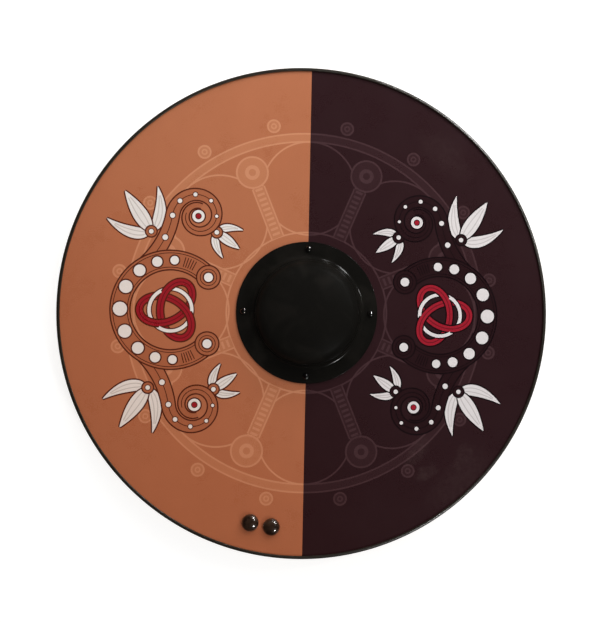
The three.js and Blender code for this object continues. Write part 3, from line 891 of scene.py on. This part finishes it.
def boss_surface():
    """The boss's outer surface from the flange's edge to the crown, as (radius, height, tilt)."""
    flange_front = FLANGE_BACK + BOSS_SHEET
    wall = Vector((math.sin(BOSS_WALL_TILT), math.cos(BOSS_WALL_TILT)))
    flange_start = BOSS_FOOT_RADIUS + BOSS_FILLET_RADIUS * math.tan(BOSS_WALL_TILT / 2)
    crown_centre = Vector((0, BOSS_TOP - BOSS_CROWN_RADIUS))
    start = Vector((BOSS_FOOT_RADIUS, flange_front)) - wall * BOSS_SHOULDER_RADIUS - crown_centre
    reach = BOSS_CROWN_RADIUS - BOSS_SHOULDER_RADIUS
    up_wall = Vector((-wall.y, wall.x))
    along = start.dot(up_wall)
    rise = -along + math.sqrt(along**2 - start.length_squared + reach**2)
    shoulder = start + up_wall * rise
    crown_tilt = math.atan2(shoulder.x, shoulder.y)
    shoulder += crown_centre

    def rounded(x, z, size, first, last, steps):
        tilts = [first + (last - first) * i / steps for i in range(steps + 1)]
        return [(x + size * math.sin(t), z + size * math.cos(t), t) for t in tilts]

    edge = 0.5 * MM
    fillet = (flange_start, flange_front + BOSS_FILLET_RADIUS, -BOSS_FILLET_RADIUS)
    return [
        *rounded(BOSS_FLANGE_RADIUS - edge, flange_front - edge, edge, TURN / 4, 0, 4),
        *rounded(*fillet, 0, BOSS_WALL_TILT, 14),
        *rounded(*shoulder, BOSS_SHOULDER_RADIUS, BOSS_WALL_TILT, crown_tilt, 18),
        *rounded(*crown_centre, BOSS_CROWN_RADIUS, crown_tilt, 0, 10)[1:],
    ]


def add_boss():
    """The hollow boss with its flange."""
    outer = boss_surface()
    rim = outer[:5]
    inner = [
        (r - BOSS_SHEET * math.sin(t), z - BOSS_SHEET * math.cos(t)) for r, z, t in outer[5:]
    ]
    outside = [(r, z) for r, z, _ in outer]
    inside = [(0, inner[-1][1]), *reversed(inner[:-1]), (rim[0][0], FLANGE_BACK)]
    profile = [*inside, *outside[:-1], (0, BOSS_TOP)]
    flange = FLANGE_BACK / MM
    black = black_paint_material("boss_black", (17, 16, 14), 0.16, 0.09, flange + 5, flange + 18)
    piece = new_piece("boss_dome", turned("boss", profile, 192), [black], ["boss"])
    reach = (FLANGE_BACK - MM, FLANGE_BACK + BOSS_SHEET + MM)
    drilled(piece, [(*p, RIVET_SHANK_RADIUS + SHANK_CLEARANCE, *reach) for p in RIVET_PLACES.values()])


def add_rivets():
    black = black_paint_material("rivet_black", (12, 10, 9), 1.0, 0.12, clear=1.0)
    steel = steel_material()
    for side, place in RIVET_PLACES.items():
        low, high = heights(f"boss_rivet_{side}")
        tail = low + RIVET_TAIL_HEIGHT
        head = high - RIVET_HEAD_HEIGHT
        tail_dome = [(r, tail - z) for r, z in dome(0, RIVET_TAIL_RADIUS, RIVET_TAIL_HEIGHT, 8)]
        profile = [
            *reversed(tail_dome),
            (RIVET_SHANK_RADIUS, tail),
            (RIVET_SHANK_RADIUS, head),
            *dome(head, RIVET_HEAD_RADIUS, RIVET_HEAD_HEIGHT, 12),
        ]
        mesh = turned(f"rivet_{side}", profile, 40, place)
        new_piece(f"rivet_{side}", mesh, [black], [f"boss_rivet_{side}"])
        add_washer(f"rivet_washer_{side}", RIVET_SHANK_RADIUS, steel)
    for side in STUD_SIDES:
        add_washer(f"stud_washer_{side}", STUD_SHANK_RADIUS, steel)
        add_nut(f"stud_nut_{side}", steel)


def add_washer(node, shank, material):
    low, high = heights(node)
    outside = (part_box(node)[1].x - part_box(node)[0].x) / 2
    inside = shank + SHANK_CLEARANCE
    edge = 0.25 * MM
    profile = [
        (inside, low + edge),
        (inside + edge, low),
        (outside - edge, low),
        (outside, low + edge),
        (outside, high - edge),
        (outside - edge, high),
        (inside + edge, high),
        (inside, high - edge),
        (inside, low + edge),
    ]
    mesh = turned(node, profile, 48, middle(node).xy)
    new_piece(f"{node}_ring", mesh, [material], [node])


def add_nut(node, material):
    """A hexagon nut with its corners turned off."""
    low, high = heights(node)
    centre = middle(node)
    corner = (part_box(node)[1].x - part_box(node)[0].x) / 2
    bore = STUD_SHANK_RADIUS + SHANK_CLEARANCE
    flat = corner * math.cos(math.pi / 6)
    segments = 72
    turn_off = 0.9 * MM
    bm = bmesh.new()
    rings = []
    for i in range(segments):
        angle = TURN * i / segments
        toward = (angle + math.pi / 6) % (math.pi / 3) - math.pi / 6
        side = flat / math.cos(math.pi / 6 - abs(toward))
        drop = turn_off * max(0.0, (side - flat) / (corner - flat))
        levels = [
            (bore, low + 0.4 * MM),
            (bore + 0.4 * MM, low),
            (flat - 0.3 * MM, low),
            (side, low + 0.25 * MM + drop),
            (side, high - 0.1 * MM),
            (side - 0.1 * MM, high),
            (bore, high),
        ]
        rings.append([bm.verts.new((*(centre.xy + polar(angle, r)), z)) for r, z in levels])
    for i in range(segments):
        this, following = rings[i], rings[(i + 1) % segments]
        for j in range(len(this)):
            k = (j + 1) % len(this)
            bm.faces.new([this[j], following[j], following[k], this[k]])
    new_piece(f"{node}_hexagon", finished(bm, node, 20), [material], [node])


def add_studs():
    bronze = stud_material()
    for side, place in STUD_PLACES.items():
        low, high = heights(f"stud_{side}")
        radius = (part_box(f"stud_{side}")[1].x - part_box(f"stud_{side}")[0].x) / 2
        head = SKIN_FRONT + SEAT_GAP
        bevel = 0.5 * MM
        profile = [
            (0, low),
            (STUD_SHANK_RADIUS - bevel, low),
            (STUD_SHANK_RADIUS, low + bevel),
            (STUD_SHANK_RADIUS, head),
            (radius - 0.2 * MM, head),
            (radius, head + 0.2 * MM),
            *dome(head + STUD_HEAD_EDGE, radius, high - head - STUD_HEAD_EDGE, 20),
        ]
        mesh = turned(f"stud_{side}", profile, 64, place)
        new_piece(f"domed_stud_{side}", mesh, [bronze], [f"stud_{side}"])


def smooth_share(value, start, end):
    share = min(1.0, max(0.0, (value - start) / (end - start)))
    return share * share * (3 - 2 * share)


def between(start, end, share):
    return start + (end - start) * share


def grip_section(y):
    """A ring of points round the grip at this distance from its middle."""
    flare = smooth_share(abs(y), GRIP_FLARE_START, GRIP_FLARE_END)
    past = max(0.0, abs(y) - GRIP_HALF_LENGTH + GRIP_NOSE_LENGTH) / GRIP_NOSE_LENGTH
    nose = math.sqrt(max(0.0, 1 - past**2))
    width = between(GRIP_NOSE_WIDTH, between(GRIP_HAND_WIDTH, GRIP_END_WIDTH, flare), nose)
    bottom = GRIP_DEPTH - between(GRIP_NOSE_DEPTH, GRIP_DEPTH, nose)
    size = between(GRIP_HAND_ROUND, GRIP_END_ROUND, flare)
    side, top = width / 2 - size, GRIP_DEPTH - size
    quarter = TURN / 4
    corners = [
        arc(side, bottom + size, size, -quarter, 0, 7),
        arc(side, top, size, 0, quarter, 7),
        arc(-side, top, size, quarter, 2 * quarter, 7),
        arc(-side, bottom + size, size, 2 * quarter, 3 * quarter, 7),
    ]
    return [(x, y, z) for corner in corners for x, z in corner]


def add_grip():
    """The wooden grip, with its ends rounded off and sunk rivets."""
    flat = [GRIP_FLARE_START * i / 6 for i in range(6)]
    flare = [between(GRIP_FLARE_START, GRIP_FLARE_END, i / 10) for i in range(10)]
    nose_start = GRIP_HALF_LENGTH - GRIP_NOSE_LENGTH
    straight = [between(GRIP_FLARE_END, nose_start, i / 4) for i in range(4)]
    nose = [nose_start + GRIP_NOSE_LENGTH * math.sin(TURN / 4 * i / 12) for i in range(13)]
    half = flat + flare + straight + nose
    bm = bmesh.new()
    stations = [-y for y in reversed(half[1:])] + half
    rings = [[bm.verts.new(p) for p in grip_section(y)] for y in stations]
    for this, following in zip(rings, rings[1:]):
        for i in range(len(this)):
            j = (i + 1) % len(this)
            bm.faces.new([this[i], this[j], following[j], following[i]])
    bm.faces.new(rings[0])
    bm.faces.new(rings[-1])
    wood = wood_material("oiled_ash", (150, 102, 62), (104, 64, 36), (58, 34, 20), 7, 0.38)
    piece = new_piece("hand_grip", finished(bm, "grip", 40), [wood], ["grip"])
    washer_low, washer_high = heights("rivet_washer_top")
    sink = (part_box("rivet_washer_top")[1].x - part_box("rivet_washer_top")[0].x) / 2 + WASHER_CLEARANCE
    holes = []
    for side in ("top", "bottom"):
        place = RIVET_PLACES[side]
        holes.append((*place, RIVET_SHANK_RADIUS + SHANK_CLEARANCE, washer_low, GRIP_DEPTH + MM))
        holes.append((*place, sink, -MM, washer_high + SEAT_GAP))
    drilled(piece, holes[:2])
    drilled(piece, holes[2:])


# Floor, lights and camera

FACE = Vector((0, 0, SKIN_FRONT))
CAMERA_DISTANCE = 0.9
CAMERA_LENS = 42.6
CAMERA_PITCH, CAMERA_YAW, CAMERA_ROLL = (math.radians(a) for a in (-0.72, 4.09, -1.22))
CAMERA_OFFSET = Vector((8.5 * MM, -1.4 * MM, 0))

FLOOR_REACH = 30  # metres from its middle

# The room's light: how bright it is at each height above the horizon, as a sine
ROOM_LIGHT = ((0.0, 0.86), (0.16, 0.86), (0.24, 0.29), (0.60, 0.29), (0.90, 0.18), (1.0, 0.15))
ROOM_AZIMUTH = math.radians(60)
ROOM_SLOPE = 0.2


def add_camera():
    """The camera looks down on the face, a little from one side, as the photograph does."""
    turn = Matrix.Rotation(CAMERA_ROLL, 4, "Z") @ Matrix.Rotation(CAMERA_YAW, 4, "Y")
    turn = turn @ Matrix.Rotation(CAMERA_PITCH, 4, "X")
    data = bpy.data.cameras.new("camera")
    data.lens = CAMERA_LENS
    data.clip_start = 0.01
    camera = bpy.data.objects.new("camera", data)
    scene.collection.objects.link(camera)
    back = Matrix.Translation(Vector((0, 0, CAMERA_DISTANCE)) - CAMERA_OFFSET)
    camera.matrix_world = Matrix.Translation(FACE) @ turn.inverted() @ back
    scene.camera = camera


def add_light(name, azimuth, elevation, distance, width, height, share, glints=True):
    """A light that faces the shield. Azimuth 0 is +X, 90 is +Y. Its share is how bright it alone makes
    a white surface in the middle of the face. One that doesn't glint only fills."""
    a, e = math.radians(azimuth), math.radians(elevation)
    data = bpy.data.lights.new(name, "AREA")
    data.shape = "RECTANGLE"
    data.size = width
    data.size_y = height
    data.energy = share * 4 * math.pi * distance**2 / math.sin(e)
    light = bpy.data.objects.new(name, data)
    scene.collection.objects.link(light)
    out = Vector((math.cos(a) * math.cos(e), math.sin(a) * math.cos(e), math.sin(e)))
    light.location = FACE + out * distance
    light.rotation_mode = "QUATERNION"
    light.rotation_quaternion = out.to_track_quat("Z", "Y")
    light.visible_glossy = glints


def add_surroundings():
    """A pale floor in a pale room, two large soft lights that fill, and small ones that glint."""
    bm = bmesh.new()
    bmesh.ops.create_grid(bm, x_segments=1, y_segments=1, size=FLOOR_REACH)
    mesh = bpy.data.meshes.new("floor")
    bm.to_mesh(mesh)
    bm.free()
    mesh.materials.append(floor_material())
    floor = bpy.data.objects.new("floor", mesh)
    scene.collection.objects.link(floor)
    floor.visible_glossy = False

    add_room()
    add_light("overhead_fill", 60, 78, 2.2, 2.6, 2.6, 0.25, glints=False)
    add_light("upper_fill", 96, 30, 1.2, 0.8, 0.8, 0.21, glints=False)
    add_light("top_glint", 67, 20, 1.8, 0.10, 0.14, 0.022)
    add_light("right_glint", 47, 28, 1.8, 0.26, 0.76, 0.15)
    add_light("small_right_glint", 20, 36, 1.8, 0.07, 0.12, 0.045)
    add_light("low_right_glint", -52, 37, 3.0, 0.34, 0.22, 0.11)


def add_room():
    """A room lit from all sides, most from the upper right, whose light gloss doesn't mirror."""
    world = bpy.data.worlds.new("room")
    scene.world = world
    world.use_nodes = True
    world.cycles_visibility.glossy = False
    tree = world.node_tree
    background = tree.nodes["Background"]
    coordinates = tree.nodes.new("ShaderNodeTexCoord").outputs["Generated"]
    split = tree.nodes.new("ShaderNodeSeparateXYZ")
    ramp = tree.nodes.new("ShaderNodeValToRGB")
    toward = tree.nodes.new("ShaderNodeVectorMath")
    toward.operation = "DOT_PRODUCT"
    toward.inputs[1].default_value = (math.cos(ROOM_AZIMUTH), math.sin(ROOM_AZIMUTH), 0)
    strength = tree.nodes.new("ShaderNodeMapRange")
    strength.inputs[1].default_value = -1.0
    strength.inputs[3].default_value = 1 - ROOM_SLOPE
    strength.inputs[4].default_value = 1 + ROOM_SLOPE
    tree.links.new(coordinates, split.inputs[0])
    tree.links.new(coordinates, toward.inputs[0])
    tree.links.new(split.outputs[2], ramp.inputs[0])
    tree.links.new(toward.outputs["Value"], strength.inputs[0])
    tree.links.new(ramp.outputs[0], background.inputs[0])
    tree.links.new(strength.outputs[0], background.inputs[1])
    stops = ramp.color_ramp.elements
    stops[0].position, stops[1].position = ROOM_LIGHT[0][0], ROOM_LIGHT[-1][0]
    for height, _ in ROOM_LIGHT[1:-1]:
        stops.new(height)
    for stop, (_, light) in zip(stops, ROOM_LIGHT):
        stop.color = (light, light, light, 1)


scene.view_settings.view_transform = "Standard"
add_camera()
add_surroundings()
add_skin()
add_board()
add_edging()
add_boss()
add_rivets()
add_studs()
add_grip()
